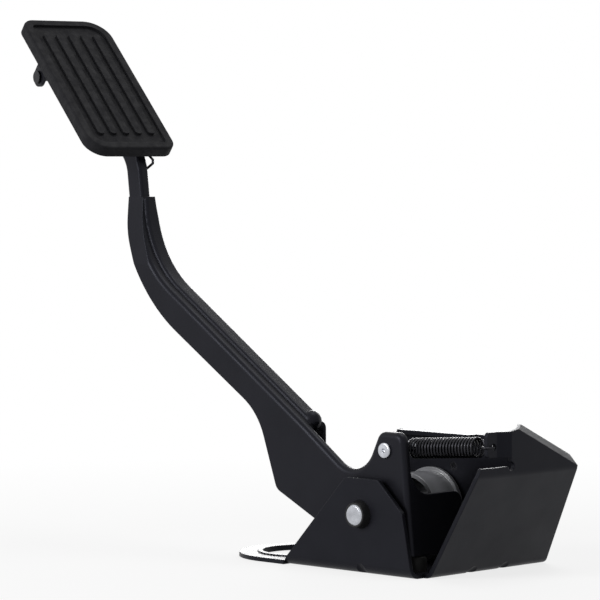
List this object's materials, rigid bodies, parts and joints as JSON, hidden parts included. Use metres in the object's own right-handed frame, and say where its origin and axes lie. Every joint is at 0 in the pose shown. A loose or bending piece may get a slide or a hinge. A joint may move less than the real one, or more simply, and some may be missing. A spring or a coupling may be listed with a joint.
{
  "type": "accelerator pedal assembly",
  "caption": "Hanging accelerator pedal: ribbed hinged pad on a bent channel arm, folded steel bracket, return spring and rotary position sensor on the pivot pin.",
  "frame": {"origin": "on the mounting face under the bracket floor, straight below the pivot axis, in the middle plane of the arm", "axes": "+X along the bracket towards its sloped end wall, +Y along the pivot axis towards the sensor, +Z away from the mounting face"},
  "size_m": [0.3666, 0.1386, 0.323],
  "materials": {
    "bracket_paint": "satin black coat on folded steel sheet",
    "arm_paint": "satin black coat on stamped steel",
    "black_plastic": "moulded black plastic",
    "drum_plastic": "smooth glossy black plastic",
    "board_green": "coated circuit board",
    "terminal_brass": "plain brass",
    "stop_rubber": "moulded black rubber",
    "pad_rubber": "fine-grained black rubber",
    "bare_steel": "bright turned steel",
    "spring_steel": "dark coated spring wire",
    "magnet_grey": "sintered magnet"
  },
  "bodies": {
    "bracket": {"bracket_floor": "bracket_paint", "bracket_near_plate": "bracket_paint", "bracket_end_wall": "bracket_paint", "sensor_plate": "bracket_paint", "near_pivot_bush": "black_plastic", "far_pivot_bush": "black_plastic", "sensor_housing": "black_plastic", "sensor_cover": "black_plastic", "sensor_board": "board_green", "sensor_terminals": "terminal_brass", "sensor_seal": "stop_rubber", "sensor_screws": "spring_steel", "idle_stop": "stop_rubber", "full_travel_stop": "stop_rubber", "return_spring": "spring_steel"},
    "arm": {"pedal_arm": "arm_paint", "arm_pivot_tube": "arm_paint", "pivot_pin": "bare_steel", "pin_retaining_ring": "spring_steel", "friction_drum": "drum_plastic", "spring_rivet": "bare_steel", "sensor_rotor": "drum_plastic", "rotor_magnet": "magnet_grey", "pad_torsion_spring": "spring_steel"},
    "pad": {"pad_plate": "arm_paint", "pad_cover": "pad_rubber", "pad_hinge_pin": "spring_steel"}
  },
  "joints": [
    {"name": "pedal_pivot", "type": "hinge", "parent": "bracket", "child": "arm", "pos_m": [0, 0, 0.034], "axis": [0, -1, 0], "range_deg": [0, 14], "stiffness_Nm_per_rad": 10, "springref_deg": -22.92, "deforming": ["return_spring"]},
    {"name": "pad_pivot", "type": "hinge", "parent": "arm", "child": "pad", "pos_m": [-0.259, 0, 0.287], "axis": [-0.2113, -0.9774, 0], "range_deg": [0, 15], "stiffness_Nm_per_rad": 0.3, "springref_deg": -17.19}
  ]
}
